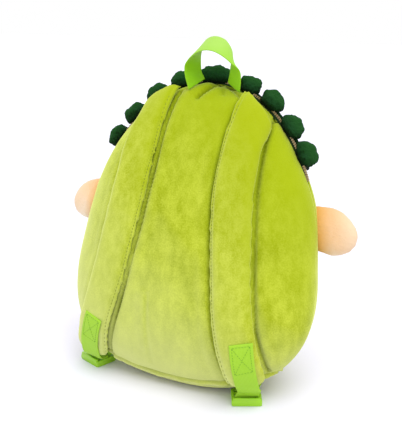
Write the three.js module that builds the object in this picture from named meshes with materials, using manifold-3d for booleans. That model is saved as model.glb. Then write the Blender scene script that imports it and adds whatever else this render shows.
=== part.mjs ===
// Child's plush backpack: an egg-shaped bag with a scalloped crest, two side flaps, padded straps and a
// grab handle.
// Millimetres, +Z up. +X is the wearer's right side, -Y faces the wearer and the floor is z = 0.
import * as THREE from "three";
import { mergeVertices } from "three/addons/utils/BufferGeometryUtils.js";
import Module from "manifold-3d";

const wasm = await Module();
wasm.setup();

const { degToRad, lerp, clamp, smoothstep } = THREE.MathUtils;

// Clearance between neighbours
const TOUCH_GAP = 0.3;

// Bag body, in the plane of its rim seam
const BODY_WIDTH = 290;
const BODY_HEIGHT = 338;
const WIDEST_HEIGHT = 118;
const TOP_ROUNDNESS = 2.06;
const BOTTOM_ROUNDNESS = 2.48;
const BACK_DEPTH = 56;
const FRONT_DEPTH = 92;
const WALL = 6;
const LEAN = degToRad(16.3);
const BASE_CENTRE = 40;

// How the two halves of the body swell from the rim to the middle
const DOME_POWER = 2.1;
const FRONT_BASE_POWER = 6;
const FRONT_TOP_TAPER = 0.48;

// Zipper round the top of the rim
const ZIP_WIDTH = 6;
const ZIP_TURN = degToRad(57);
const ZIP_TAPE_THICKNESS = 1.6;
const ZIP_SINK = 1.2;
const SLIDER_LENGTH = 9;
const SLIDER_THICKNESS = 3.5;
const PULL_LENGTH = 24;
const PULL_THICKNESS = 2;

// Crest
const CREST_BAND_WIDTH = 12;
const CREST_BAND_THICKNESS = 3;
const CREST_TURN = degToRad(52);
const BOBBLE_HEIGHT = 23;
const BOBBLE_DEPTH = 21;
const BOBBLE_WIDTH = 28;
const BOBBLE_SINK = 4;
const BOBBLE_SETBACK = 2;

// Side flaps
const FLAP_LENGTH = 68;
const FLAP_HEIGHT = 51;
const FLAP_THICKNESS = 25;
const FLAP_CENTRE_HEIGHT = 190;
const FLAP_SETBACK = 16;
const FLAP_REACH = 6;
const FLAP_DROOP = degToRad(21);

// Padded shoulder straps
const STRAP_WIDTH = 48;
const STRAP_THICKNESS = 9;
const STRAP_EDGE_THICKNESS = 4;
const STRAP_BOTTOM_HEIGHT = 25;
const STRAP_TOP_INSET = 8;
const STRAP_CORNER = 6;
const STRAP_FLATNESS = 0.55;

// Webbing and ladder locks
const WEBBING_WIDTH = 25;
const WEBBING_THICKNESS = 1.6;
const WEBBING_OVERLAP = 42;
const LOCK_WIDTH = 32;
const LOCK_RAIL = 2.8;
const LOCK_HEIGHT = 7;
const LOCK_BAR = 3;
const LOCK_SLOT = 5.2;
const LOCK_LIP_HEIGHT = 9.5;
const LOCK_LIP_THICKNESS = 2.6;

// Grab handle
const HANDLE_RISE = 46;
const HANDLE_SPREAD = 46;
const HANDLE_OFFSET = 8.5;
const HANDLE_FORWARD = 5;

// Crest bobbles on one side, from the bottom up: turn round the rim in degrees, and width along the rim as a
// share of the bobble width.
const BOBBLE_ROWS = [
  { turn: 48.6, share: 1 },
  { turn: 38.4, share: 1 },
  { turn: 26.6, share: 1 },
  { turn: 15.4, share: 0.86 },
];
const MIDDLE_BOBBLE_SHARE = 1.57;

// Strap centre line: height as a share of the body height, place as a share of half the body width, stand-off
// from the panel as a share of the strap thickness, and width as a share of the strap width.
const STRAP_ROWS = [
  { height: 0.05, across: 0.65, off: 0.2, width: 0.95 },
  { height: 0.16, across: 0.585, off: 0.4, width: 0.96 },
  { height: 0.28, across: 0.53, off: 0.25, width: 0.98 },
  { height: 0.48, across: 0.462, off: 0, width: 1 },
  { height: 0.68, across: 0.415, off: 0, width: 1 },
  { height: 0.98, across: 0.42, off: 0, width: 0.85 },
];

// The two sides differ a little, as soft straps do: how far outward the strap's top is sewn and its end lies,
// how far outward and back of the strap end the ladder lock is, and how far off the strap's centre line its
// webbing is sewn and leaves the strap, all as shares of the strap width; yaw of the strap end and of the lock
// in degrees, and the turn round the rim in degrees where the lower webbing leaves the seam.
const SIDE_ROWS = [
  {
    name: "left",
    side: -1,
    topShift: -0.229,
    endShift: 0.146,
    endYaw: 14,
    lockYaw: 20,
    drift: 0.208,
    tuck: 0.25,
    webbingShift: 0.083,
    webbingExit: 0,
    rootTurn: 142,
  },
  {
    name: "right",
    side: 1,
    topShift: 0.042,
    endShift: 0.021,
    endYaw: 24,
    lockYaw: 27,
    drift: -0.104,
    tuck: 0.188,
    webbingShift: 0.15,
    webbingExit: 0.01,
    rootTurn: 147,
  },
];

// Materials
const cloth = (color) => new THREE.MeshStandardMaterial({ color, roughness: 0.95, metalness: 0 });
const LIME_VELOUR = cloth("#bccb3c");
const GREEN_PLUSH = cloth("#1c4a22");
const PEACH_PLUSH = cloth("#fbd5a5");
const LIME_WEBBING = cloth("#a6e03a");
const ZIP_TAPE = cloth("#22401f");
const LIME_PLASTIC = new THREE.MeshStandardMaterial({ color: "#a2df2c", roughness: 0.4, metalness: 0 });
const ZIP_METAL = new THREE.MeshStandardMaterial({ color: "#b9a07c", roughness: 0.4, metalness: 0.6 });

const signedPower = (value, power) => Math.sign(value) * Math.abs(value) ** power;

// Body surface

const BACK = { side: -1, depth: BACK_DEPTH, basePower: DOME_POWER, taper: 0 };
const FRONT = { side: 1, depth: FRONT_DEPTH, basePower: FRONT_BASE_POWER, taper: FRONT_TOP_TAPER };

// Facets of the body: round the rim, and from the middle of a half to its rim
const BODY_TURNS = 44;
const BODY_RINGS = 11;

// Half the gap between the two halves of the body at a turn round the rim, closing past the zipper's ends
function halfRimGap(turn) {
  const facet = (2 * Math.PI) / BODY_TURNS;
  const fade = 1 - smoothstep(Math.abs(turn), ZIP_TURN, ZIP_TURN + facet);
  return lerp(TOUCH_GAP / 2, ZIP_WIDTH / 2, fade);
}

// Rim point at a turn from the top, with the whole outline grown or shrunk by an amount
function rimPoint(turn, grow = 0) {
  const upper = Math.cos(turn) > 0;
  const power = 2 / (upper ? TOP_ROUNDNESS : BOTTOM_ROUNDNESS);
  const rise = (upper ? BODY_HEIGHT - WIDEST_HEIGHT : WIDEST_HEIGHT) + grow;
  const x = (BODY_WIDTH / 2 + grow) * signedPower(Math.sin(turn), power);
  const z = WIDEST_HEIGHT + rise * signedPower(Math.cos(turn), power);
  return { x, z };
}

// Upper rim outline: one half-axis share from the other
function upperOutline(share) {
  return (1 - clamp(share, 0, 1) ** TOP_ROUNDNESS) ** (1 / TOP_ROUNDNESS);
}

// Height of the rim outline at a place across
function rimTop(x) {
  return WIDEST_HEIGHT + (BODY_HEIGHT - WIDEST_HEIGHT) * upperOutline(Math.abs(x) / (BODY_WIDTH / 2));
}

// How far a half stands out from the rim plane, as a share of its depth
function domeShare(half, turn, ring) {
  const down = Math.max(0, -Math.cos(turn));
  const up = Math.max(0, Math.cos(turn));
  const power = lerp(DOME_POWER, half.basePower, down * down);
  return Math.sqrt(Math.max(0, 1 - ring ** power)) * (1 - half.taper * up * ring);
}

// Lifts a point of the leaning bag that would sink below the floor, or below an inner wall's height over it
function restOnFloor(point, height) {
  const floorNormal = new THREE.Vector3(0, -Math.sin(LEAN), Math.cos(LEAN));
  const lift = height - point.dot(floorNormal);
  return lift > 0 ? point.addScaledVector(floorNormal, lift) : point;
}

// Point of one half at a turn round the rim and a ring from the middle (0) to the rim (1)
function bodyPoint(half, turn, ring, grow = 0) {
  const rim = rimPoint(turn, grow);
  const out = (half.depth + grow) * domeShare(half, turn, ring) + halfRimGap(turn) * ring * ring;
  const height = WIDEST_HEIGHT + (rim.z - WIDEST_HEIGHT) * ring;
  const point = new THREE.Vector3(rim.x * ring, half.side * out, height);
  return restOnFloor(point, -grow);
}

// Outer surface of the back panel over a place in the rim plane
function backPanelY(x, z) {
  const upper = z > WIDEST_HEIGHT;
  const power = upper ? TOP_ROUNDNESS : BOTTOM_ROUNDNESS;
  const rise = upper ? BODY_HEIGHT - WIDEST_HEIGHT : WIDEST_HEIGHT;
  const across = Math.abs(x) / (BODY_WIDTH / 2);
  const along = Math.abs(z - WIDEST_HEIGHT) / rise;
  const ring = Math.min(1, (across ** power + along ** power) ** (1 / power));
  const turn = Math.atan2(across ** (power / 2), along ** (power / 2) * (upper ? 1 : -1));
  return -(BACK_DEPTH * domeShare(BACK, turn, ring) + halfRimGap(turn) * ring * ring);
}

// Step over which slopes of the back panel and of the strap are taken
const SLOPE_STEP = 1;

// Slope of the back panel across and up, over a place in the rim plane
function backPanelSlope(x, z) {
  const across = backPanelY(x + SLOPE_STEP, z) - backPanelY(x - SLOPE_STEP, z);
  const up = backPanelY(x, z + SLOPE_STEP) - backPanelY(x, z - SLOPE_STEP);
  return { across: across / (2 * SLOPE_STEP), up: up / (2 * SLOPE_STEP) };
}

// Outward direction of the back panel over a place in the rim plane
function backPanelNormal(x, z) {
  const slope = backPanelSlope(x, z);
  return new THREE.Vector3(slope.across, -1, slope.up).normalize();
}

// Geometry helpers

// Volume inside a closed indexed geometry, negative where its faces point in
function signedVolume(geometry) {
  const corners = [0, 1, 2].map(() => new THREE.Vector3());
  let volume = 0;
  for (let i = 0; i < geometry.index.count; i += 3) {
    corners.forEach((corner, k) => {
      corner.fromBufferAttribute(geometry.attributes.position, geometry.index.getX(i + k));
    });
    volume += corners[0].dot(corners[1].cross(corners[2])) / 6;
  }
  return volume;
}

// Closed geometry with its shared vertices joined, collapsed triangles left out and its faces pointing out
function weld(geometry) {
  const bare = geometry.clone();
  bare.deleteAttribute("normal");
  bare.deleteAttribute("uv");
  bare.clearGroups();
  const merged = mergeVertices(bare, 1e-3);
  const kept = [];
  for (let i = 0; i < merged.index.count; i += 3) {
    const [a, b, c] = [0, 1, 2].map((k) => merged.index.getX(i + k));
    if (a !== b && b !== c && c !== a) kept.push(a, b, c);
  }
  merged.setIndex(kept);
  if (signedVolume(merged) < 0) merged.setIndex(kept.toReversed());
  return merged;
}

// Moves every vertex of a geometry by a function of its place
function reshape(geometry, place) {
  const position = geometry.attributes.position;
  for (let i = 0; i < position.count; i += 1) {
    const moved = place(new THREE.Vector3().fromBufferAttribute(position, i));
    position.setXYZ(i, moved.x, moved.y, moved.z);
  }
  return geometry;
}

function toSolid(geometry) {
  const welded = weld(geometry);
  const vertProperties = new Float32Array(welded.attributes.position.array);
  const triVerts = new Uint32Array(welded.index.array);
  return new wasm.Manifold(new wasm.Mesh({ numProp: 3, vertProperties, triVerts }));
}

function fromSolid(solid) {
  const mesh = solid.getMesh();
  const geometry = new THREE.BufferGeometry();
  geometry.setAttribute("position", new THREE.BufferAttribute(new Float32Array(mesh.vertProperties), 3));
  geometry.setIndex(new THREE.BufferAttribute(new Uint32Array(mesh.triVerts), 1));
  return geometry;
}

function namedMesh(name, geometry, material) {
  geometry.computeVertexNormals();
  const mesh = new THREE.Mesh(geometry, material);
  mesh.name = name;
  return mesh;
}

// A flat box of unit size, cut into rows, bent into a strip: across runs -1 to 1, along 0 to 1, deep 0 to 1
function bentStrip(acrossCount, alongCount, place) {
  const box = new THREE.BoxGeometry(1, 1, 1, acrossCount, 1, alongCount);
  return weld(reshape(box, (p) => place(2 * p.x, p.z + 0.5, p.y + 0.5)));
}

// Webbing along a path of stations, each with a centre and the direction of the webbing's width
function webbingStrip(stations, alongCount) {
  const centres = new THREE.CatmullRomCurve3(stations.map((s) => s.centre), false, "centripetal");
  const widths = new THREE.CatmullRomCurve3(stations.map((s) => s.width), false, "centripetal");
  return bentStrip(1, alongCount, (across, along, deep) => {
    const width = widths.getPoint(along).normalize();
    const out = new THREE.Vector3().crossVectors(width, centres.getTangent(along)).normalize();
    return centres
      .getPoint(along)
      .addScaledVector(width, (across * WEBBING_WIDTH) / 2)
      .addScaledVector(out, (deep - 0.5) * WEBBING_THICKNESS);
  });
}

// Body halves

// A disc of rings, turned as a flat plate, with each vertex then placed by its turn, ring and face
function ringPlate(place) {
  const ringAt = (k) => Math.sin((k / BODY_RINGS) * (Math.PI / 2));
  const rings = Array.from({ length: BODY_RINGS + 1 }, (_, k) => ringAt(k));
  const lower = rings.map((ring) => new THREE.Vector2(ring, 0));
  const upper = rings.toReversed().map((ring) => new THREE.Vector2(ring, 1));
  const plate = new THREE.LatheGeometry([...lower, ...upper], BODY_TURNS);
  return weld(reshape(plate, (p) => place(Math.atan2(p.x, p.z), Math.hypot(p.x, p.z), p.y > 0.5)));
}

function bodyHalf(half) {
  return ringPlate((turn, ring, outer) => bodyPoint(half, turn * half.side, ring, outer ? 0 : -WALL));
}

// Both halves as one filled solid grown by a clearance, to cut what sits on the body
function bodyCutter(grow) {
  return toSolid(ringPlate((turn, ring, front) => bodyPoint(front ? FRONT : BACK, turn, ring, grow)));
}

// Zipper

// Strip of the zipper gap between two turns, with its width and its height over the rim outline
function rimStrip(fromTurn, toTurn, count, width, low, high) {
  return bentStrip(1, count, (across, along, deep) => {
    const rim = rimPoint(lerp(fromTurn, toTurn, along), lerp(low, high, deep));
    return new THREE.Vector3(rim.x, (across * width) / 2, rim.z);
  });
}

function zipperTape() {
  const width = ZIP_WIDTH - 2 * TOUCH_GAP;
  return rimStrip(-ZIP_TURN, ZIP_TURN, 44, width, -ZIP_SINK - ZIP_TAPE_THICKNESS, -ZIP_SINK);
}

// Slider parked at the left end of the zipper, with its pull hanging down over the seam
function zipSlider() {
  const turnPerLength = 2 / BODY_WIDTH;
  const start = -ZIP_TURN;
  const width = ZIP_WIDTH - 2 * TOUCH_GAP;
  const low = TOUCH_GAP - ZIP_SINK;
  const high = low + SLIDER_THICKNESS;
  const slider = rimStrip(start, start + SLIDER_LENGTH * turnPerLength, 2, width, low, high);
  const pull = rimStrip(
    start + (SLIDER_LENGTH / 2 - PULL_LENGTH) * turnPerLength,
    start + (SLIDER_LENGTH / 2) * turnPerLength,
    4,
    width,
    high - PULL_THICKNESS,
    high,
  );
  return fromSolid(toSolid(slider).add(toSolid(pull)));
}

// Crest

// Ring of the front half where its outside is a depth behind the rim plane
function ringAtDepth(turn, depth, grow) {
  let inner = 0.5;
  let outer = 1;
  for (let step = 0; step < 24; step += 1) {
    const middle = (inner + outer) / 2;
    if (bodyPoint(FRONT, turn, middle, grow).y > depth) inner = middle;
    else outer = middle;
  }
  return outer;
}

// Band behind the zipper that carries the bobbles; grown by a clearance and sunk where it cuts them
function crestBand(grow) {
  const nearEdge = ZIP_WIDTH / 2 + TOUCH_GAP - grow;
  const farEdge = nearEdge + CREST_BAND_WIDTH + 2 * grow;
  const overhang = grow * (2 / BODY_WIDTH);
  return bentStrip(2, 32, (across, along, deep) => {
    const turn = lerp(-CREST_TURN - overhang, CREST_TURN + overhang, along);
    const depth = lerp(nearEdge, farEdge, (across + 1) / 2);
    const sunk = grow > 0 ? CREST_BAND_THICKNESS : 0;
    const lift = TOUCH_GAP + (deep > 0.5 ? CREST_BAND_THICKNESS + grow : -sunk);
    const onBody = bodyPoint(FRONT, turn, ringAtDepth(turn, depth, 0), 0);
    const outward = rimNormal(turn);
    return onBody.addScaledVector(outward, lift);
  });
}

function rimNormal(turn) {
  const step = 1e-3;
  const before = rimPoint(turn - step);
  const after = rimPoint(turn + step);
  return new THREE.Vector3(before.z - after.z, 0, after.x - before.x).normalize();
}

// Rounded bobble standing on the crest band, cut to its seat
function crestBobble(turn, width, cutter) {
  const outward = rimNormal(turn);
  const along = new THREE.Vector3(outward.z, 0, -outward.x);
  const depthwise = new THREE.Vector3(0, 1, 0);
  const rim = rimPoint(turn);
  const seat = new THREE.Vector3(rim.x, BOBBLE_SETBACK, rim.z);
  const centre = seat.addScaledVector(outward, BOBBLE_HEIGHT / 2 - BOBBLE_SINK);
  const ball = new THREE.SphereGeometry(0.5, 12, 8);
  const stretch = new THREE.Matrix4().makeScale(width, BOBBLE_DEPTH, BOBBLE_HEIGHT);
  const place = new THREE.Matrix4().makeBasis(along, depthwise, outward).setPosition(centre);
  ball.applyMatrix4(stretch).applyMatrix4(place);
  return fromSolid(toSolid(ball).subtract(cutter));
}

// Side flaps

function sideFlap(side, cutter) {
  const pad = new THREE.SphereGeometry(0.5, 18, 11);
  pad.scale(FLAP_LENGTH, FLAP_THICKNESS, FLAP_HEIGHT);
  pad.rotateY(side * FLAP_DROOP);
  const heightShare = (FLAP_CENTRE_HEIGHT - WIDEST_HEIGHT) / (BODY_HEIGHT - WIDEST_HEIGHT);
  const rimX = (BODY_WIDTH / 2) * upperOutline(heightShare);
  pad.translate(side * (rimX + FLAP_REACH), FLAP_SETBACK, FLAP_CENTRE_HEIGHT);
  return fromSolid(toSolid(pad).subtract(cutter));
}

// Shoulder straps

// Smooth value of a table column at a place along its first column
function tableValue(rows, column, height) {
  const last = rows.length - 1;
  let k = 0;
  while (k < last - 1 && height > rows[k + 1].height) k += 1;
  const slope = (i) => {
    const before = rows[Math.max(0, i - 1)];
    const after = rows[Math.min(last, i + 1)];
    return (after[column] - before[column]) / (after.height - before.height);
  };
  const span = rows[k + 1].height - rows[k].height;
  const t = clamp((height - rows[k].height) / span, 0, 1);
  const smooth = t * t * (3 - 2 * t);
  const start = t * (1 - t) * (1 - t) * span * slope(k);
  const end = t * t * (t - 1) * span * slope(k + 1);
  return lerp(rows[k][column], rows[k + 1][column], smooth) + start + end;
}

// Centre of the strap's inner face at a height, on the right side
function strapCentre(row, height) {
  const share = height / BODY_HEIGHT;
  const topShift = row.topShift * smoothstep(height, BODY_HEIGHT - 2 * STRAP_WIDTH, BODY_HEIGHT);
  const nearEnd = 1 - smoothstep(height, STRAP_BOTTOM_HEIGHT, STRAP_BOTTOM_HEIGHT + 2 * STRAP_WIDTH);
  const shift = (topShift + row.endShift * nearEnd) * STRAP_WIDTH;
  const x = tableValue(STRAP_ROWS, "across", share) * (BODY_WIDTH / 2) + shift;
  const off = tableValue(STRAP_ROWS, "off", share) * STRAP_THICKNESS;
  return new THREE.Vector3(x, backPanelY(x, height) - off, height);
}

// Centre, width direction and outward direction of the strap at a height, clear of the panel all across
function strapFrame(row, height) {
  const centre = strapCentre(row, height);
  const above = strapCentre(row, height + SLOPE_STEP);
  const along = above.sub(strapCentre(row, height - SLOPE_STEP)).normalize();
  const slope = backPanelSlope(centre.x, height).across;
  const endShare = 1 - smoothstep(height, STRAP_BOTTOM_HEIGHT, STRAP_BOTTOM_HEIGHT + 2 * STRAP_WIDTH);
  const yaw = lerp(Math.atan(slope) * STRAP_FLATNESS, degToRad(row.endYaw), endShare);
  const width = new THREE.Vector3(Math.cos(yaw), Math.sin(yaw), 0);
  width.addScaledVector(along, -width.dot(along)).normalize();
  const outward = new THREE.Vector3().crossVectors(width, along).normalize();
  let sunk = 0;
  for (const across of [-1, -0.5, 0, 0.5, 1]) {
    const edge = centre.clone().addScaledVector(width, (across * STRAP_WIDTH) / 2);
    sunk = Math.max(sunk, (edge.y - backPanelY(edge.x, edge.z)) * Math.abs(outward.y));
  }
  centre.addScaledVector(outward, sunk + TOUCH_GAP);
  return { centre, width, outward };
}

// How far the facet rows of a strap crowd toward its ends
const STRAP_END_CROWDING = 0.85;

function shoulderStrap(row) {
  const top = rimTop(strapCentre(row, BODY_HEIGHT).x) - STRAP_TOP_INSET;
  return bentStrip(6, 36, (across, along, deep) => {
    const crowded = lerp(along, smoothstep(along, 0, 1), STRAP_END_CROWDING);
    const height = lerp(STRAP_BOTTOM_HEIGHT, top, crowded);
    const fromEnd = Math.min(height - STRAP_BOTTOM_HEIGHT, STRAP_CORNER);
    const cornerCut = STRAP_CORNER - Math.sqrt(STRAP_CORNER ** 2 - (STRAP_CORNER - fromEnd) ** 2);
    const frame = strapFrame(row, height);
    const width = STRAP_WIDTH * tableValue(STRAP_ROWS, "width", height / BODY_HEIGHT);
    const reach = across * (width / 2 - cornerCut);
    const point = frame.centre.clone().addScaledVector(frame.width, reach);
    const sewn = smoothstep(height, top - STRAP_WIDTH, top);
    point.z += sewn * (rimTop(point.x) - rimTop(frame.centre.x));
    point.y = lerp(point.y, backPanelY(point.x, point.z), sewn);
    const outward = frame.outward.clone().lerp(backPanelNormal(point.x, point.z), sewn).normalize();
    const thickness = lerp(STRAP_THICKNESS, STRAP_EDGE_THICKNESS, across ** 4);
    point.addScaledVector(outward, deep * thickness + sewn * 2 * TOUCH_GAP);
    point.x *= row.side;
    return point;
  });
}

// Middle of the strap's outer face at a height, with its width and outward directions, in the part's frame
function strapFace(bag, row, height) {
  const frame = strapFrame(row, height);
  const mirror = new THREE.Vector3(row.side, 1, 1);
  const toPart = (direction) => direction.clone().multiply(mirror).transformDirection(bag.matrixWorld);
  const face = frame.centre.clone().addScaledVector(frame.outward, STRAP_THICKNESS);
  return {
    centre: bag.localToWorld(face.multiply(mirror)),
    width: toPart(frame.width).multiplyScalar(row.side),
    outward: toPart(frame.outward),
  };
}

// Ladder locks and their webbing

// Places along the ladder lock, with its front slot over the origin and the bag behind it
const SLOT_PITCH = LOCK_BAR + LOCK_SLOT;
const FRONT_BAR_Y = SLOT_PITCH / 2;
const MIDDLE_BAR_Y = FRONT_BAR_Y + SLOT_PITCH;
const BACK_BAR_Y = MIDDLE_BAR_Y + SLOT_PITCH;
const LIP_Y = -LOCK_SLOT / 2 - LOCK_LIP_THICKNESS / 2;
const LAYER = WEBBING_THICKNESS + TOUCH_GAP;
const BAR_LOW = 2 * LAYER + TOUCH_GAP;
const BACK_BAR_LOW = LAYER + 2 * TOUCH_GAP;

// Edge rounding of a bar as a share of its smaller side, and how square webbing turns round it
const BAR_ROUNDING = 0.3;
const BAR_TURN_POWER = 0.7;

// Bar along X with rounded edges, from a low to a high level, centred on a place along the lock
function roundedBar(length, width, low, high, y) {
  const round = Math.min(width, high - low) * BAR_ROUNDING;
  const shape = new THREE.Shape();
  const corners = [
    [y + width / 2, low, -round, 0, 0, round],
    [y + width / 2, high, 0, -round, -round, 0],
    [y - width / 2, high, round, 0, 0, -round],
    [y - width / 2, low, 0, round, round, 0],
  ];
  corners.forEach(([cornerY, cornerZ, fromY, fromZ, toY, toZ], k) => {
    if (k === 0) shape.moveTo(cornerY + fromY, cornerZ + fromZ);
    else shape.lineTo(cornerY + fromY, cornerZ + fromZ);
    shape.quadraticCurveTo(cornerY, cornerZ, cornerY + toY, cornerZ + toZ);
  });
  shape.closePath();
  const bar = new THREE.ExtrudeGeometry(shape, { depth: length, bevelEnabled: false, curveSegments: 2 });
  const alongX = new THREE.Matrix4().makeBasis(
    new THREE.Vector3(0, 1, 0),
    new THREE.Vector3(0, 0, 1),
    new THREE.Vector3(1, 0, 0),
  );
  return bar.applyMatrix4(alongX).translate(-length / 2, 0, 0);
}

// Two side rails, three bars and a raised front lip, in the lock's own frame with the floor at z = 0
function ladderLock() {
  const railLength = BACK_BAR_Y - LIP_Y + LOCK_BAR / 2 + LOCK_LIP_THICKNESS / 2;
  const railY = (BACK_BAR_Y + LOCK_BAR / 2 + LIP_Y - LOCK_LIP_THICKNESS / 2) / 2;
  const railX = (LOCK_WIDTH - LOCK_RAIL) / 2;
  const barLength = LOCK_WIDTH - LOCK_RAIL;
  const rail = roundedBar(LOCK_RAIL, railLength, 0, LOCK_HEIGHT, railY);
  const pieces = [
    rail.clone().translate(railX, 0, 0),
    rail.clone().translate(-railX, 0, 0),
    roundedBar(barLength, LOCK_BAR, BAR_LOW, LOCK_HEIGHT, FRONT_BAR_Y),
    roundedBar(barLength, LOCK_BAR, BAR_LOW, LOCK_HEIGHT, MIDDLE_BAR_Y),
    roundedBar(barLength, LOCK_BAR, BACK_BAR_LOW, LOCK_HEIGHT, BACK_BAR_Y),
    roundedBar(barLength, LOCK_LIP_THICKNESS, 0, LOCK_LIP_HEIGHT, LIP_Y),
  ];
  return fromSolid(pieces.map(toSolid).reduce((lock, piece) => lock.add(piece)));
}

// Station of a webbing path in the frame of a ladder lock
function lockStation(lock, y, z) {
  return {
    centre: lock.localToWorld(new THREE.Vector3(0, y, z)),
    width: new THREE.Vector3(1, 0, 0).transformDirection(lock.matrixWorld),
  };
}

// Stations round a bar of the lock, over a range of degrees from its bag side (0) over its top (90)
function aroundBar(lock, y, low, high, degrees) {
  const clear = WEBBING_THICKNESS / 2 + 2 * TOUCH_GAP;
  return degrees.map((degree) => {
    const angle = degToRad(degree);
    const outY = (LOCK_BAR / 2 + clear) * signedPower(Math.cos(angle), BAR_TURN_POWER);
    const outZ = ((high - low) / 2 + clear) * signedPower(Math.sin(angle), BAR_TURN_POWER);
    return lockStation(lock, y + outY, (low + high) / 2 + outZ);
  });
}

// Webbing sewn on the strap end, round its bottom edge, down the lock's front slot and under its front bar
function strapWebbing(bag, lock, row) {
  const lift = 2 * TOUCH_GAP + WEBBING_THICKNESS / 2;
  const onStrap = (below, inward) => {
    const face = strapFace(bag, row, STRAP_BOTTOM_HEIGHT - below);
    const centre = face.centre.addScaledVector(face.outward, lift - inward);
    const sewn = clamp(-below / WEBBING_OVERLAP, 0, 1);
    const shift = lerp(row.webbingExit, row.webbingShift, sewn) * STRAP_WIDTH;
    return { centre: centre.addScaledVector(face.width, shift), width: face.width };
  };
  const stations = [
    ...[1, 0.75, 0.5, 0.25, 0].map((share) => onStrap(-WEBBING_OVERLAP * share, 0)),
    onStrap(lift + 2 * TOUCH_GAP, lift),
    onStrap(2 * lift, STRAP_EDGE_THICKNESS),
    lockStation(lock, 0, LOCK_LIP_HEIGHT),
    ...aroundBar(lock, FRONT_BAR_Y, BAR_LOW, LOCK_HEIGHT, [170, 190, 225, 270, 300]),
  ];
  return webbingStrip(stations, 36);
}

// Webbing from the bottom corner of the rim seam, down the rear slot of the lock and round its back bar
function lowerWebbing(bag, lock, row) {
  const turn = row.side * degToRad(row.rootTurn);
  const rim = rimPoint(turn, WEBBING_THICKNESS);
  const outward = rimNormal(turn);
  const root = {
    centre: bag.localToWorld(new THREE.Vector3(rim.x, 0, rim.z)),
    width: new THREE.Vector3(-outward.z, 0, outward.x).transformDirection(bag.matrixWorld),
  };
  const stations = [
    root,
    lockStation(lock, BACK_BAR_Y - SLOT_PITCH / 2, LOCK_HEIGHT + TOUCH_GAP),
    ...aroundBar(lock, BACK_BAR_Y, BACK_BAR_LOW, LOCK_HEIGHT, [170, 190, 225, 270, 315, 0, 20]),
  ];
  return webbingStrip(stations, 36);
}

// Grab handle

// Feet of the handle on the top of the back panel: place and depth in front of the rim plane of the near and
// far corners of the webbing, as shares of the spread and of the webbing width
const HANDLE_FEET = [
  { side: -1, near: { across: -0.6, depth: 0.85 }, far: { across: -0.36, depth: 0.1 } },
  { side: 1, near: { across: 0.69, depth: 0.55 }, far: { across: 0.24, depth: 0.15 } },
];

// Free path of the handle's webbing from the left leg to the right: across and up as shares of the spread and
// of the rise, and the direction of the webbing's width from its near to its far edge
const HANDLE_ROWS = [
  { across: -0.585, up: 0.34, width: [0.37, 0.92, -0.1] },
  { across: -0.53, up: 0.66, width: [0.2, 0.93, 0.25] },
  { across: -0.33, up: 0.92, width: [0.05, 0.85, 0.5] },
  { across: -0.08, up: 1, width: [0, 0.84, 0.54] },
  { across: 0.2, up: 0.93, width: [-0.05, 0.84, 0.52] },
  { across: 0.44, up: 0.7, width: [-0.3, 0.85, 0.4] },
  { across: 0.53, up: 0.39, width: [-0.75, 0.65, 0.1] },
];

// Point on the upper part of the back panel at a place across and a depth in front of the rim plane
function topOfPanel(x, depth) {
  let low = WIDEST_HEIGHT;
  let high = rimTop(x);
  for (let step = 0; step < 24; step += 1) {
    const middle = (low + high) / 2;
    if (-backPanelY(x, middle) > depth) low = middle;
    else high = middle;
  }
  return new THREE.Vector3(x, -depth, low);
}

function handleFoot(bag, foot) {
  const corner = (place) => {
    const x = HANDLE_OFFSET + place.across * HANDLE_SPREAD;
    return bag.localToWorld(topOfPanel(x, ZIP_WIDTH / 2 + place.depth * WEBBING_WIDTH));
  };
  const near = corner(foot.near);
  const far = corner(foot.far);
  const middle = corner({
    across: (foot.near.across + foot.far.across) / 2,
    depth: (foot.near.depth + foot.far.depth) / 2,
  });
  const centre = near.clone().add(far).divideScalar(2);
  centre.z = Math.max(centre.z, middle.z) + 3 * TOUCH_GAP;
  return { centre, width: far.sub(near).normalize() };
}

function grabHandle(bag) {
  const [leftFoot, rightFoot] = HANDLE_FEET.map((foot) => handleFoot(bag, foot));
  const base = leftFoot.centre.clone().add(rightFoot.centre).divideScalar(2);
  const free = HANDLE_ROWS.map((row) => ({
    centre: new THREE.Vector3(
      HANDLE_OFFSET + row.across * HANDLE_SPREAD,
      base.y - row.up * HANDLE_FORWARD,
      base.z + row.up * HANDLE_RISE,
    ),
    width: new THREE.Vector3(...row.width).normalize(),
  }));
  return webbingStrip([leftFoot, ...free, rightFoot], 36);
}

// Assembly

const backpack = new THREE.Group();
const bag = new THREE.Group();
bag.rotation.x = -LEAN;
bag.position.y = -BASE_CENTRE;
backpack.add(bag);
backpack.updateMatrixWorld(true);

bag.add(
  namedMesh("back_panel", bodyHalf(BACK), LIME_VELOUR),
  namedMesh("front_shell", bodyHalf(FRONT), LIME_VELOUR),
  namedMesh("zipper_tape", zipperTape(), ZIP_TAPE),
  namedMesh("zip_slider", zipSlider(), ZIP_METAL),
  namedMesh("crest_band", crestBand(0), GREEN_PLUSH),
);

const seatCutter = bodyCutter(TOUCH_GAP);
const bobbleCutter = seatCutter.add(toSolid(crestBand(TOUCH_GAP)));
const bobbles = [
  ...BOBBLE_ROWS.map((row) => ({ turn: -row.turn, share: row.share })),
  { turn: 0, share: MIDDLE_BOBBLE_SHARE },
  ...BOBBLE_ROWS.toReversed(),
];
bobbles.forEach((row, i) => {
  const bobble = crestBobble(degToRad(row.turn), row.share * BOBBLE_WIDTH, bobbleCutter);
  bag.add(namedMesh(`crest_bobble_${i + 1}`, bobble, GREEN_PLUSH));
});

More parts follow.
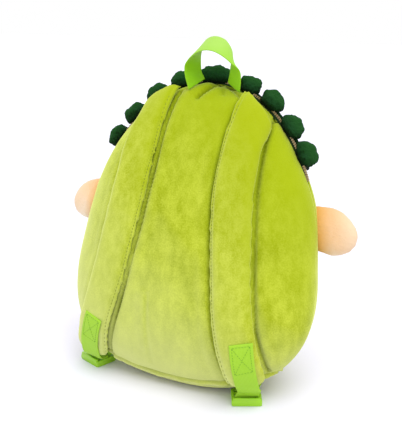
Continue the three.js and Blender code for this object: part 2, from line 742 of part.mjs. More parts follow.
for (const row of SIDE_ROWS) {
  const lock = namedMesh(`ladder_lock_${row.name}`, ladderLock(), LIME_PLASTIC);
  const strapEnd = strapFace(bag, row, STRAP_BOTTOM_HEIGHT).centre;
  const drift = row.side * row.drift * STRAP_WIDTH;
  lock.position.set(strapEnd.x + drift, strapEnd.y + row.tuck * STRAP_WIDTH, 0);
  lock.rotation.z = row.side * degToRad(row.lockYaw);
  backpack.add(lock);
  lock.updateMatrixWorld();
  bag.add(
    namedMesh(`side_flap_${row.name}`, sideFlap(row.side, seatCutter), PEACH_PLUSH),
    namedMesh(`shoulder_strap_${row.name}`, shoulderStrap(row), LIME_VELOUR),
  );
  backpack.add(
    namedMesh(`strap_webbing_${row.name}`, strapWebbing(bag, lock, row), LIME_WEBBING),
    namedMesh(`lower_webbing_${row.name}`, lowerWebbing(bag, lock, row), LIME_WEBBING),
  );
}

backpack.add(namedMesh("grab_handle", grabHandle(bag), LIME_WEBBING));

export default backpack;
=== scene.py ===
import math

import bmesh
import bpy
from mathutils import Matrix, Vector, noise
from mathutils.bvhtree import BVHTree
from mathutils.kdtree import KDTree


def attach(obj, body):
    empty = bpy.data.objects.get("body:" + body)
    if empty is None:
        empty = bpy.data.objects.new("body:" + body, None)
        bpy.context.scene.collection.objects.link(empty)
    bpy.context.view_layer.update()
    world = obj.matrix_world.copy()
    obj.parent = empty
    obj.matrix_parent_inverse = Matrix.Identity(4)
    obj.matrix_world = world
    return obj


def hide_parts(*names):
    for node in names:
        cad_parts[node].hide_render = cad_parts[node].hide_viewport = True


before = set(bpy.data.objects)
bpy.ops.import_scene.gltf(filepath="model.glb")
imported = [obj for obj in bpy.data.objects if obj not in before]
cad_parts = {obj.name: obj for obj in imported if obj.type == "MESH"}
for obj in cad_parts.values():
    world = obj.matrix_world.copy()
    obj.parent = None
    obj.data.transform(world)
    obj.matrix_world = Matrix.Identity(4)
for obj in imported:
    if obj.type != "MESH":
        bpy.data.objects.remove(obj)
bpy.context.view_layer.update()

MM = 0.001

# Camera, at the photograph's angle and for its 402 x 421 picture
AZIMUTH = math.radians(26.9)
ELEVATION = math.radians(15.91)
TARGET = Vector((31.0, -40.0, 204.0)) * MM
DISTANCE = 781.65 * MM
LENS = 64.46

toward = Vector((
    math.sin(AZIMUTH) * math.cos(ELEVATION),
    -math.cos(AZIMUTH) * math.cos(ELEVATION),
    math.sin(ELEVATION),
))
camera = bpy.data.objects.new("camera", bpy.data.cameras.new("camera"))
camera.data.lens = LENS
camera.data.sensor_width = 36
camera.data.clip_start = 0.01
camera.location = TARGET + toward * DISTANCE
camera.rotation_euler = toward.to_track_quat("Z", "Y").to_euler()
bpy.context.scene.collection.objects.link(camera)
bpy.context.scene.camera = camera
bpy.context.scene.view_settings.view_transform = "Standard"

# Sizes shared with the CAD model, in millimetres. The bag leans back on its flattened base.
LEAN = math.radians(16.3)
BASE_CENTRE = 40
BODY_WIDTH = 290
BODY_HEIGHT = 338
WIDEST_HEIGHT = 118
TOP_ROUNDNESS = 2.06
BOTTOM_ROUNDNESS = 2.48
ZIP_TURN = math.radians(57)
BOBBLE_SETBACK = 2
FLAP_SETBACK = 16
BASE_HALF_WIDTH = 118
BACK_BASE_DEPTH = 22
FRONT_BASE_DEPTH = 64
WEBBING_WIDTH = 25
WEBBING_THICKNESS = 1.6

# Webbing routes: centre in millimetres and direction of the width, in the part's frame
STRAP_WEBBING_ROUTES = {
    "left": [
        [-84.6, -75.3, 76.4, 0.935, -0.214, -0.283], [-89, -74.5, 64.3, 0.936, -0.19, -0.297],
        [-93.3, -71.8, 51.4, 0.941, -0.144, -0.305], [-97.5, -67.5, 37, 0.957, -0.08, -0.278],
        [-100.9, -57.4, 17.3, 0.986, 0.007, -0.164], [-100.5, -49.7, 13.8, 0.995, 0.023, -0.092],
        [-100.5, -45.3, 13.9, 0.996, 0.023, -0.083], [-110.7, -44.4, 9.5, 0.94, -0.342, 0],
        [-110.3, -43.3, 6.4, 0.94, -0.342, 0], [-110.3, -43.3, 4.7, 0.94, -0.342, 0],
        [-110.1, -42.7, 3.3, 0.94, -0.342, 0], [-109.3, -40.6, 2.7, 0.94, -0.342, 0],
        [-108.7, -38.9, 3, 0.94, -0.342, 0],
    ],
    "right": [
        [92.5, -72.9, 79.6, 0.931, 0.313, 0.19], [93.7, -73.1, 67.4, 0.918, 0.326, 0.227],
        [94.9, -71.9, 54.4, 0.91, 0.307, 0.278], [96, -68.4, 40.2, 0.918, 0.248, 0.309],
        [96.6, -60.5, 23.4, 0.953, 0.12, 0.279], [96.7, -57.4, 19.8, 0.964, 0.081, 0.252],
        [96.2, -54.5, 19.6, 0.97, 0.064, 0.235], [90.7, -50.5, 9.5, 0.891, 0.454, 0],
        [90.2, -49.4, 6.4, 0.891, 0.454, 0], [90.2, -49.4, 4.7, 0.891, 0.454, 0],
        [89.9, -48.9, 3.3, 0.891, 0.454, 0], [88.9, -46.8, 2.7, 0.891, 0.454, 0],
        [88.1, -45.2, 3, 0.891, 0.454, 0],
    ],
}
LOWER_WEBBING_ROUTES = {
    "left": [
        [-99.1, -34.6, 18.5, 0.855, -0.145, -0.498], [-105.1, -29, 7.3, 0.94, -0.342, 0],
        [-104.7, -27.9, 5.8, 0.94, -0.342, 0], [-104.7, -27.9, 3.7, 0.94, -0.342, 0],
        [-104.5, -27.3, 1.9, 0.94, -0.342, 0], [-103.7, -25.2, 1.1, 0.94, -0.342, 0],
        [-102.9, -23, 1.9, 0.94, -0.342, 0], [-102.7, -22.4, 4.8, 0.94, -0.342, 0],
        [-102.7, -22.5, 6.5, 0.94, -0.342, 0],
    ],
    "right": [
        [89.8, -36, 13.6, 0.899, 0.123, 0.42], [83.3, -35.9, 7.3, 0.891, 0.454, 0],
        [82.7, -34.8, 5.8, 0.891, 0.454, 0], [82.7, -34.8, 3.7, 0.891, 0.454, 0],
        [82.5, -34.2, 1.9, 0.891, 0.454, 0], [81.4, -32.2, 1.1, 0.891, 0.454, 0],
        [80.4, -30.2, 1.9, 0.891, 0.454, 0], [80.1, -29.6, 4.8, 0.891, 0.454, 0],
        [80.2, -29.7, 6.5, 0.891, 0.454, 0],
    ],
}
HANDLE_ROUTE = [
    [-13.6, 38, 324, 0.394, 0.819, 0.417], [-18.4, 37.9, 338.7, 0.371, 0.923, -0.1],
    [-15.9, 36.3, 353.4, 0.203, 0.946, 0.254], [-6.7, 35, 365.3, 0.051, 0.861, 0.506],
    [4.8, 34.6, 369, 0, 0.841, 0.541], [17.7, 34.9, 365.8, -0.051, 0.849, 0.526],
    [28.7, 36.1, 355.2, -0.304, 0.862, 0.406], [32.9, 37.6, 341, -0.752, 0.652, 0.1],
    [29.9, 41.2, 322, -0.792, 0.501, 0.348],
]

# Middle of each shoulder strap's outer face from the bottom up: place, width direction, outward direction and
# width
STRAP_FRAMES = {
    "left": [
        [-100.7, -56.4, 18.3, 0.986, 0.007, -0.164, -0.115, -0.688, -0.716, 45.697],
        [-88.1, -73.1, 77.3, 0.935, -0.213, -0.283, -0.203, -0.977, 0.066, 46.367],
        [-76.1, -66.6, 121, 0.971, -0.177, -0.161, -0.127, -0.952, 0.279, 47.287],
        [-69.6, -54.8, 161.7, 0.985, -0.146, -0.088, -0.109, -0.938, 0.329, 47.896],
        [-64.3, -42, 201.7, 0.989, -0.129, -0.074, -0.095, -0.931, 0.351, 48.382],
        [-61.1, -25.5, 241.4, 0.994, -0.104, 0.018, -0.102, -0.899, 0.426, 47.807],
        [-58, -5.1, 280.1, 0.983, -0.174, -0.052, -0.122, -0.843, 0.524, 45.115],
        [-53, 27.4, 318.5, 0.978, -0.166, 0.125, -0.194, -0.517, 0.834, 41.8],
    ],
    "right": [
        [95.7, -59.5, 24.1, 0.953, 0.12, 0.279, 0.264, -0.783, -0.563, 45.697],
        [85.7, -73.8, 76.6, 0.929, 0.316, 0.194, 0.304, -0.948, 0.091, 46.339],
        [76.3, -67.2, 118.8, 0.976, 0.179, 0.121, 0.14, -0.95, 0.278, 47.248],
        [70, -55.8, 158.4, 0.985, 0.147, 0.091, 0.11, -0.939, 0.327, 47.859],
        [64.8, -43.5, 197.5, 0.988, 0.131, 0.079, 0.096, -0.933, 0.346, 48.326],
        [61.2, -28, 236.1, 0.994, 0.107, -0.005, 0.1, -0.905, 0.414, 48.055],
        [61.5, -8.2, 274, 0.992, 0.087, -0.096, 0.125, -0.845, 0.52, 45.623],
        [64.8, 23.9, 311.6, 0.973, 0.095, -0.209, 0.227, -0.534, 0.815, 42.416],
    ],
}

# Folds of the back panel in its own plane: places across and up, height over the surface, half width
PANEL_FOLDS = [
    {"line": [(-6, 317), (-3, 322), (2, 328), (7, 334)], "height": -5.0, "reach": 1.7},
    {"line": [(-18, 322), (-12, 327), (-7, 331), (-3, 335)], "height": 1.8, "reach": 3.6},
    {"line": [(5, 318), (9, 323), (13, 328), (16, 332)], "height": 1.2, "reach": 3.0},
    {"line": [(20, 334), (25, 333), (34, 328), (43, 321)], "height": -3.0, "reach": 1.9},
    {"line": [(11, 335), (16, 332), (20, 328), (22, 323)], "height": -2.2, "reach": 1.7},
    {"line": [(-22, 98), (-21, 71), (-19, 43), (-18, 23)], "height": -0.8, "reach": 1.8},
    {"line": [(-28, 98), (-27, 71), (-26, 43)], "height": 0.6, "reach": 5.0},
]

# Where the filling rounds out the sides: turn from the top and half width in degrees, height in millimetres
SIDE_FULLNESS = [
    {"turn": 62, "height": 3.2, "reach": 10},
    {"turn": 98, "height": 2.6, "reach": 12},
    {"turn": -108, "height": 2.4, "reach": 14},
]
SIDE_START = 60
SIDE_FADE = 50

# Relief of the seams and prints of the body, in millimetres
SEAM_DEPTH = 2.2
LIP_HEIGHT = 1.7
LIP_OFFSET = 3.6
ZIP_PINCH = 1.6
PRINT_GROOVE = 3.2
PRINT_DEPTH = 0.8
PRINT_RIDGE = 0.6
# Fold depth at which the painted shade of a fold is full
FULL_SHADE_DEPTH = -5.5

# Voxels that the stuffed pieces are remeshed with, and their filling
STRAP_VOXEL = 2.6
FLAP_VOXEL = 1.8
BOBBLE_VOXEL = 1.7
FILL_PRESSURE = 4.0
FILL_CAP = 1.2
RELAX_TIMES = 4

# Side flaps: where they meet the rim seam, how far they reach into it, and how they narrow and rise
FLAP_ROOT = 150
FLAP_SEWN_IN = 4
FLAP_MIDDLE = 182
FLAP_NARROWING = 0.1
FLAP_STRETCH = 1.08
FLAP_RAISE = 1.5

# How far out from the rim the plush has its outer colour
CREST_REACH = 16
FLAP_REACH = 36

# Stitches of the straps, and the box of stitches that holds their webbing: along and across
STITCH_INSET = 4.4
STITCH_BOX = [(3, -9.5), (3, 9.5), (33, 9.5), (33, -9.5), (3, -9.5)]

TOOTH_PITCH = 2.6
TOOTH_RISE = 1.5
TOOTH_SIZE = (1.5, 2.4, 2.2)
SLIDER_TURN = math.radians(4.4)
TAPE_RISE = 1.6

# Direction and drift that the pile's colours follow from the upper right to the lower left: partly the lie of
# the pile, partly painted light and shade
PILE_AND_LIGHT_LEAN = (-0.45, 0, -0.85)
PILE_AND_LIGHT_DRIFT = (-1.9, 0, -3.6)


# Materials

def srgb(code):
    """Linear colour of an sRGB hex value"""
    values = [int(code[i:i + 2], 16) / 255 for i in (1, 3, 5)]
    return [v / 12.92 if v <= 0.04045 else ((v + 0.055) / 1.055) ** 2.4 for v in values] + [1.0]


def add(material, kind, settings=None, links=None):
    """Adds a node with its settings and its links. A name that isn't the node's own is one of its inputs."""
    node = material.node_tree.nodes.new(kind)
    for name, value in (settings or {}).items():
        if isinstance(name, str) and hasattr(node, name):
            setattr(node, name, value)
        else:
            node.inputs[name].default_value = value
    for name, source in (links or {}).items():
        material.node_tree.links.new(source, node.inputs[name])
    return node


def new_material(name):
    """An empty material"""
    material = bpy.data.materials.new(name)
    material.use_nodes = True
    material.node_tree.nodes.clear()
    return material


def finish_material(material, settings, links):
    """Closes a material with its surface shader"""
    shader = add(material, "ShaderNodeBsdfPrincipled", settings, links)
    add(material, "ShaderNodeOutputMaterial", {}, {"Surface": shader.outputs[0]})
    return material


def per_mm(size):
    """Noise scale whose features are about a size in millimetres"""
    return 1 / (size * MM)


def mix(material, factor, first, second):
    """Colour between two colours, each a hex value or a socket"""
    settings = {"data_type": "RGBA"}
    links = {}
    for index, value in ((0, factor), (6, first), (7, second)):
        if isinstance(value, str):
            settings[index] = srgb(value)
        elif isinstance(value, float):
            settings[index] = value
        else:
            links[index] = value
    return add(material, "ShaderNodeMix", settings, links).outputs[2]


def ramp(material, value, start, end, most=1.0):
    """Share that rises from 0 to a most as a value goes from a start to an end"""
    return add(material, "ShaderNodeMapRange", {"From Min": start, "From Max": end, "To Max": most},
               {"Value": value}).outputs[0]


def along(material, vector, direction):
    """Length of a vector along a direction"""
    settings = {"operation": "DOT_PRODUCT", 1: direction}
    return add(material, "ShaderNodeVectorMath", settings, {0: vector}).outputs["Value"]


def pile(name, deep, tip, patch, tuft, relief, sheen, sheen_tint,
         painted_light_and_pile_lie=None, painted_shade=None, root=None, end=None):
    """Pile fabric: brushed patches where the pile lies over, single tufts, and a soft sheen at the edges.

    The pair of colours for the way a face turns holds high faces turned up and to the right, and low ones turned
    down and to the left: partly the lie of the pile, partly painted light and shade. The fold colour is painted
    shade deep in folds and grooves. root is painted shade next to the body, warmed by painted bounce light on
    the peach plush, and end is the colour farthest out.
    """
    m = new_material(name)
    place = add(m, "ShaderNodeTexCoord").outputs["Object"]
    brushed = add(m, "ShaderNodeMapping", {"Scale": (1, 1, 0.5)}, {"Vector": place}).outputs[0]
    share = None
    layers = (patch, 0.35, 4.0, brushed), (patch / 4, 0.3, 4.0, brushed), (tuft, 0.35, 2.0, place)
    for size, weight, detail, vector in layers:
        grain = add(m, "ShaderNodeTexNoise", {"Scale": per_mm(size), "Detail": detail},
                    {"Vector": vector}).outputs[0]
        links = {0: ramp(m, grain, 0.36, 0.64)}
        if share:
            links[2] = share
        share = add(m, "ShaderNodeMath", {"operation": "MULTIPLY_ADD", 1: weight, 2: 0.0}, links).outputs[0]
    colour = mix(m, share, deep, tip)
    # Colours by the way a face turns and where it lies: partly the lie of the pile, partly painted light and
    # shade
    if painted_light_and_pile_lie:
        normal = add(m, "ShaderNodeNewGeometry").outputs["Normal"]
        pile_lie_and_light = add(m, "ShaderNodeMath", {"operation": "ADD"},
                  {0: along(m, place, PILE_AND_LIGHT_DRIFT), 1: along(m, normal, PILE_AND_LIGHT_LEAN)}).outputs[0]
        colour = mix(m, ramp(m, pile_lie_and_light, -1.0, -1.75, 0.9), colour, painted_light_and_pile_lie[0])
        colour = mix(m, ramp(m, pile_lie_and_light, -0.95, 0.35, 0.85), colour, painted_light_and_pile_lie[1])
    # Painted shade deep in folds and grooves
    if painted_shade:
        painted_shade_share = add(m, "ShaderNodeAttribute", {"attribute_name": "painted_shade"}).outputs["Fac"]
        colour = mix(m, painted_shade_share, colour, painted_shade)
    # Painted shade next to the body at the root, and the colour farthest out at the end
    if root:
        reach = add(m, "ShaderNodeAttribute", {"attribute_name": "reach"}).outputs["Fac"]
        colour = mix(m, ramp(m, reach, 0.5, 1.0), colour, end)
        colour = mix(m, ramp(m, reach, 0.45, 0.0), colour, root)
    bump = add(m, "ShaderNodeBump", {"Strength": 0.7, "Distance": relief * MM}, {"Height": grain})
    return finish_material(m, {
        "Roughness": 0.95, "IOR": 1.45, "Specular IOR Level": 0.1,
        "Sheen Weight": sheen, "Sheen Roughness": 0.45, "Sheen Tint": srgb(sheen_tint),
    }, {"Base Color": colour, "Normal": bump.outputs[0]})


def webbing_weave(name, dark, light, upper=None):
    """Woven nylon webbing: ribs along its length crossed by the weft, on the piece's own map of one width"""
    m = new_material(name)
    uv = add(m, "ShaderNodeUVMap", {"uv_map": "weave"}).outputs[0]
    threads = []
    for direction in ("X", "Y"):
        bands = {"wave_type": "BANDS", "bands_direction": direction, "Scale": 5.6, "Distortion": 0.3}
        threads.append(add(m, "ShaderNodeTexWave", bands, {"Vector": uv}).outputs["Fac"])
    woven = add(m, "ShaderNodeMath", {"operation": "MULTIPLY"}, {0: threads[0], 1: threads[1]}).outputs[0]
    place = add(m, "ShaderNodeTexCoord").outputs["Object"]
    soil = add(m, "ShaderNodeTexNoise", {"Scale": per_mm(7), "Detail": 3.0}, {"Vector": place}).outputs[0]
    colour = mix(m, ramp(m, soil, 0.4, 0.7, 0.4), mix(m, woven, dark, light), dark)
    # Painted light: the top of the band is painted paler, as lit from above
    if upper:
        height = add(m, "ShaderNodeSeparateXYZ", {}, {0: place}).outputs["Z"]
        colour = mix(m, ramp(m, height, 0.345, 0.368, 0.9), colour, upper)
    bump = add(m, "ShaderNodeBump", {"Strength": 0.4, "Distance": 0.25 * MM}, {"Height": woven})
    return finish_material(m, {
        "Roughness": 0.55, "IOR": 1.5, "Specular IOR Level": 0.3,
        "Sheen Weight": 0.15, "Sheen Roughness": 0.4, "Sheen Tint": srgb("#e6ffb0"),
    }, {"Base Color": colour, "Normal": bump.outputs[0]})


def moulded(name, base, mark, roughness, metallic, grain):
    """Moulded or cast surface with a faint flow mottle and fine scuffs that break up the gloss"""
    m = new_material(name)
    place = add(m, "ShaderNodeTexCoord").outputs["Object"]
    mottle = add(m, "ShaderNodeTexNoise", {"Scale": per_mm(grain), "Detail": 3.0},
                 {"Vector": place}).outputs[0]
    share = add(m, "ShaderNodeMath", {"operation": "MULTIPLY", 1: 0.35}, {0: mottle}).outputs[0]
    colour = mix(m, share, base, mark)
    rough = add(m, "ShaderNodeMapRange", {"To Min": roughness - 0.08, "To Max": roughness + 0.1},
                {"Value": mottle})
    bump = add(m, "ShaderNodeBump", {"Strength": 0.25, "Distance": 0.05 * MM}, {"Height": mottle})
    return finish_material(m, {"IOR": 1.5, "Metallic": metallic},
                           {"Base Color": colour, "Roughness": rough.outputs[0], "Normal": bump.outputs[0]})


# Short polyester velour: the pile lies over in patches. Faces turned up and to the right are deep and those low
# down and turned to the left pale, partly from the lie of the pile and partly as painted light: painted shade
# above, painted sheen and floor bounce below. Deep folds and grooves get a painted shade colour. Its 0.6 mm
# tufts are drawn 1.5 mm coarse so that they show.
LIME_VELOUR = pile("lime_velour", "#8f9e00", "#bfcb40", 34, 1.5, 0.6, 0.8, "#e6ec9c",
                   painted_light_and_pile_lie=("#9aab02", "#cdd488"), painted_shade="#5d6a00")
# The same velour on the stuffed straps, in slightly different tones, with smaller patches and a little less
# sheen, and the same painted light and shade in the colours for the way a face turns
STRAP_VELOUR = pile("strap_velour", "#98a60c", "#bdc848", 26, 1.5, 0.6, 0.7, "#e6ec9c",
                    painted_light_and_pile_lie=("#9dac06", "#ccd484"))
# Short plush, brushed up into 1.8 mm tufts, in near-black and leaf green patches. Faces turned up and to the
# right are painted lighter and those turned down and to the left darker, as painted light from the right; next
# to the body it is painted near black, as shade between the bobbles and the body.
GREEN_PLUSH = pile("green_plush", "#071806", "#1c4a1c", 8, 1.8, 1.6, 0.05, "#8fc09a",
                   painted_light_and_pile_lie=("#173e1e", "#051203"), root="#040d04", end="#1d4a1d")
# Peach plush, pale peach on the tips. The warm orange next to the body is painted shade and painted bounce light
# from the lime body, and the very pale faces turned down and to the left are painted light.
PEACH_PLUSH = pile("peach_plush", "#dfb481", "#e6c196", 22, 1.4, 0.6, 0.5, "#fff1e4",
                   painted_light_and_pile_lie=("#e3b483", "#f6eede"), root="#dc9f42", end="#e5c8a4")
# Nylon webbing, 25 mm: fine ribs along it, crossed by the weft, with a slight sheen
LIME_WEBBING = webbing_weave("lime_webbing", "#97c820", "#afda44")
# The same webbing on the grab handle, as a darker copy painted as in shade, with its top painted paler as lit
# from above
SHADED_LIT_HANDLE_WEBBING = webbing_weave("handle_webbing_shaded_lit", "#88c400", "#9ad40c", upper="#9fcc54")
# Gloss acetal, injection moulded: even colour and a soft highlight
LIME_ACETAL = moulded("lime_acetal", "#9ad022", "#86c010", 0.32, 0.0, 14)
# Zinc die casting with an antique brass plating, rubbed brighter in places
BRASS_ZINC = moulded("brass_plated_zinc", "#b09a76", "#7a674a", 0.38, 0.7, 3)
# Polyester zipper tape, twill woven, dark green
ZIP_TWILL = pile("zip_twill_tape", "#10200c", "#22361c", 6, 0.8, 0.3, 0.1, "#8fa090")
# Spun polyester sewing thread, dull, a shade deeper than the webbing and the velour it is sewn in
WEBBING_THREAD = moulded("webbing_thread", "#6ca40c", "#5a9008", 0.6, 0.0, 1)
VELOUR_THREAD = moulded("velour_thread", "#7f8c14", "#6c780c", 0.7, 0.0, 1)
# Matt white studio paper
STUDIO_PAPER = moulded("studio_paper", "#e6e4f2", "#e2e0ee", 0.85, 0.0, 60)


# Mesh helpers

def piece(name, bm, material, nodes=()):
    """A finished piece from a bmesh: named, smooth, riding on the bag and standing for its CAD nodes"""
    mesh = bpy.data.meshes.new(name)
    for face in bm.faces:
        face.smooth = True
    bm.to_mesh(mesh)
    bm.free()
    obj = bpy.data.objects.new(name, mesh)
    obj.data.materials.append(material)
    bpy.context.scene.collection.objects.link(obj)
    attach(obj, "root")
    if nodes:
        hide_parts(*nodes)
    return obj


def cad_copy(node):
    """Merged copy of a CAD node's mesh, with its pairs of triangles joined to quads"""
    bm = bmesh.new()
    bm.from_mesh(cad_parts[node].data)
    bmesh.ops.remove_doubles(bm, verts=bm.verts, dist=0.01 * MM)
    bmesh.ops.join_triangles(bm, faces=bm.faces, angle_face_threshold=0.7, angle_shape_threshold=1.2)
    return bm


def keep_edges(bm, angle, crease):
    """Holds the edges that turn more than an angle when the mesh is subdivided"""
    layer = bm.edges.layers.float.new("crease_edge")
    for edge in bm.edges:
        if edge.calc_face_angle(0.0) > math.radians(angle):
            edge[layer] = crease
    return bm


def apply_modifiers(obj):
    """Makes the piece's modifiers part of its mesh"""
    graph = bpy.context.evaluated_depsgraph_get()
    mesh = bpy.data.meshes.new_from_object(obj.evaluated_get(graph))
    obj.modifiers.clear()
    obj.data = mesh
    for polygon in mesh.polygons:
        polygon.use_smooth = True


def subdivide(obj, levels):
    """Turns the piece into its subdivision surface"""
    modifier = obj.modifiers.new("smooth", "SUBSURF")
    modifier.levels = levels
    modifier.render_levels = levels
    apply_modifiers(obj)


def remesh(obj, voxel):
    """Covers the piece with even faces of about a voxel's size in millimetres"""
    modifier = obj.modifiers.new("even", "REMESH")
    modifier.mode = "VOXEL"
    modifier.voxel_size = voxel * MM
    apply_modifiers(obj)


def relax(obj, times):
    """Evens out the steps that a remesh leaves"""
    bm = bmesh.new()
    bm.from_mesh(obj.data)
    for _ in range(times):
        bmesh.ops.smooth_vert(bm, verts=bm.verts, factor=0.5,
                              use_axis_x=True, use_axis_y=True, use_axis_z=True)
    bm.to_mesh(obj.data)
    bm.free()


def fill_out(pieces, pressure, cap):
    """Blows soft closed pieces up a little, as their filling does; no point moves more than a cap"""
    starts = {}
    for obj in pieces:
        starts[obj.name] = [v.co.copy() for v in obj.data.vertices]
        cloth = obj.modifiers.new("filling", "CLOTH").settings
        cloth.use_pressure = True
        cloth.uniform_pressure_force = pressure
        cloth.effector_weights.gravity = 0
    for step in range(1, 21):
        bpy.context.scene.frame_set(step)
    graph = bpy.context.evaluated_depsgraph_get()
    blown = {obj.name: [v.co.copy() for v in obj.evaluated_get(graph).data.vertices] for obj in pieces}
    for obj in pieces:
        obj.modifiers.clear()
        for vertex, start, end in zip(obj.data.vertices, starts[obj.name], blown[obj.name]):
            step = end - start
            if step.length > cap * MM:
                step *= cap * MM / step.length
            vertex.co = start + step
    bpy.context.scene.frame_set(1)


def push(obj, height, painted_shade=None):
    """Moves each point along its normal by a height in millimetres.

    height is a function of the point's place and normal in the bag's frame. No point goes under the floor. Where
    a fold depth is given, each point's share of it is kept for the material as painted shade in folds and
    grooves.
    """
    turn = Matrix.Rotation(LEAN, 3, "X")
    mesh = obj.data
    normals = [v.normal.copy() for v in mesh.vertices]
    heights = [height(bag_place(v.co), turn @ n) for v, n in zip(mesh.vertices, normals)]
    for vertex, normal, relief in zip(mesh.vertices, normals, heights):
        vertex.co += normal * (relief * MM)
        vertex.co.z = max(vertex.co.z, 0.0)
    # Each point's share of the fold depth is kept as painted shade in folds and grooves
    if painted_shade:
        layer = mesh.attributes.new("painted_shade", "FLOAT", "POINT")
        painted_shade_shares = [(relief + 1.2) / (painted_shade + 1.2) for relief in heights]
        layer.data.foreach_set("value", [min(1.0, max(0.0, share)) for share in painted_shade_shares])
    mesh.update()


def bag_place(co):
    """Place in the bag's own frame, in millimetres, of a point of the part"""
    p = Vector(co) / MM
    p.y += BASE_CENTRE
    return Matrix.Rotation(LEAN, 3, "X") @ p


def part_place(p):
    """Point of the part, in metres, of a place in the bag's own frame"""
    q = Matrix.Rotation(-LEAN, 3, "X") @ Vector(p)
    q.y -= BASE_CENTRE
    return q * MM


def bell(distance, reach):
    """Smooth hump: 1 at no distance, 0 from twice the reach on"""
    t = min(1.0, abs(distance) / (2 * reach))
    return (1 - t * t) ** 2


def away_from(line, x, z):
    """Distance of a place from a line of places"""
    best = 1e9
    for (ax, az), (bx, bz) in zip(line, line[1:]):
        dx, dz = bx - ax, bz - az
        t = max(0.0, min(1.0, ((x - ax) * dx + (z - az) * dz) / (dx * dx + dz * dz)))
        best = min(best, math.hypot(x - ax - t * dx, z - az - t * dz))
    return best


def mark_reach(obj, reach):
    """Keeps, for the material, how far each point stands out from the body, as a share"""
    mesh = obj.data
    layer = mesh.attributes.new("reach", "FLOAT", "POINT")
    layer.data.foreach_set("value", [min(1.0, max(0.0, reach(bag_place(v.co)))) for v in mesh.vertices])


def power(value, exponent):
    """Power of a value's size, with its sign kept"""
    return math.copysign(abs(value) ** exponent, value)


def rim_point(turn, grow):
    """Point of the rim outline in the bag's plane at a turn from the top, grown by an amount"""
    upper = math.cos(turn) > 0
    exponent = 2 / (TOP_ROUNDNESS if upper else BOTTOM_ROUNDNESS)
    rise = (BODY_HEIGHT - WIDEST_HEIGHT if upper else WIDEST_HEIGHT) + grow
    x = (BODY_WIDTH / 2 + grow) * power(math.sin(turn), exponent)
    return Vector((x, 0, WIDEST_HEIGHT + rise * power(math.cos(turn), exponent)))


def base_seam(x, depth):
    """How far in front of the rim plane the seam of the base lies at a place across"""
    return depth * math.sqrt(max(0.0, 1 - (abs(x) / BASE_HALF_WIDTH) ** 4))


def seam_height(place, depth):
    """Relief of the base seam: a sunk stitch line with the lumpy edge of the base beside it"""
    x, y, z = place
    if z > 60 or abs(x) > BASE_HALF_WIDTH:
        return 0.0
    off = abs(y) - base_seam(x, depth)
    lumpy = LIP_HEIGHT + 1.6 * noise.noise(place / 15) + 0.6 * noise.noise(place / 6)
    return -SEAM_DEPTH * bell(off, 1.2) + lumpy * bell(off + LIP_OFFSET, 2.2)


def between(rows, at):
    """Smooth row of a table at a place counted in rows"""
    k = min(int(at), len(rows) - 2)
    t = at - k
    before = rows[max(0, k - 1)]
    after = rows[min(len(rows) - 1, k + 2)]
    out = []
    for a, b, c, d in zip(before, rows[k], rows[k + 1], after):
        out.append(b + 0.5 * t * (c - a + t * (2 * a - 5 * b + 4 * c - d + t * (3 * (b - c) + d - a))))
    return out


def strap_frames(side, count):
    """Even frames up a strap: middle of its outer face in metres, width and outward directions, half width"""
    rows = STRAP_FRAMES[side]
    frames = []
    for i in range(count):
        row = between(rows, (len(rows) - 1) * i / (count - 1))
        width, outward = Vector(row[3:6]).normalized(), Vector(row[6:9]).normalized()
        frames.append((Vector(row[:3]) * MM, width, outward, row[9] / 2))
    return frames


def strap_print():
    """Relief that the straps press into the panel, by the distance from the nearest strap's edge"""
    frames = strap_frames("left", 90) + strap_frames("right", 90)
    tree = KDTree(len(frames))
    for i, frame_row in enumerate(frames):
        tree.insert(frame_row[0], i)
    tree.balance()

    def height(place):
        point = part_place(place)
        centre, width, outward, half = frames[tree.find(point)[1]]
        off = (point - centre) / MM
        if abs(off.dot(width.cross(outward))) > 6 or off.length > 45:
            return 0.0
        edge = abs(off.dot(width)) - half
        under = PRINT_DEPTH if edge < 0 else 0.0
        return -PRINT_GROOVE * bell(edge + 0.5, 1.5) - under + PRINT_RIDGE * bell(edge - 9, 4)
    return height


def body_height(back):
    """Relief of one half of the body"""
    pressed = strap_print()

    def height(place, normal):
        x, y, z = place
        outward = normal.dot(place - Vector((0, 0, WIDEST_HEIGHT)))
        if outward <= 0:
            return 0.0
        calm = min(1.0, max(0.0, (abs(y) - 4) / 14))
        relief = calm * (1.5 * noise.noise(place / 52) + 0.5 * noise.noise(place / 21 + Vector((3, 1, 7))))
        relief += seam_height(place, BACK_BASE_DEPTH if back else FRONT_BASE_DEPTH)
        turned = math.degrees(math.atan2(x, (z - WIDEST_HEIGHT) * 0.75))
        full = sum(row["height"] * bell(turned - row["turn"], row["reach"]) for row in SIDE_FULLNESS)
        relief += full * min(1.0, max(0.0, (abs(x) - SIDE_START) / SIDE_FADE))
        relief -= ZIP_PINCH * bell(y, 7) * bell(turned - 8, 38)
        if back:
            relief += pressed(place)
            for fold in PANEL_FOLDS:
                relief += fold["height"] * bell(away_from(fold["line"], x, z), fold["reach"])
        return relief
    return height


# Body

for node in ("back_panel", "front_shell"):
    half = piece(f"{node}_velour", keep_edges(cad_copy(node), 50, 0.55), LIME_VELOUR, [node])
    subdivide(half, 3)
    push(half, body_height(node == "back_panel"), FULL_SHADE_DEPTH)

# Stuffed pieces: remeshed evenly, blown up by their filling, then evened out

def stuffed(node, material, voxel):
    """Stuffed piece in place of a CAD node, evenly remeshed"""
    pad = piece(f"{node}_pad", cad_copy(node), material, [node])
    remesh(pad, voxel)
    return pad


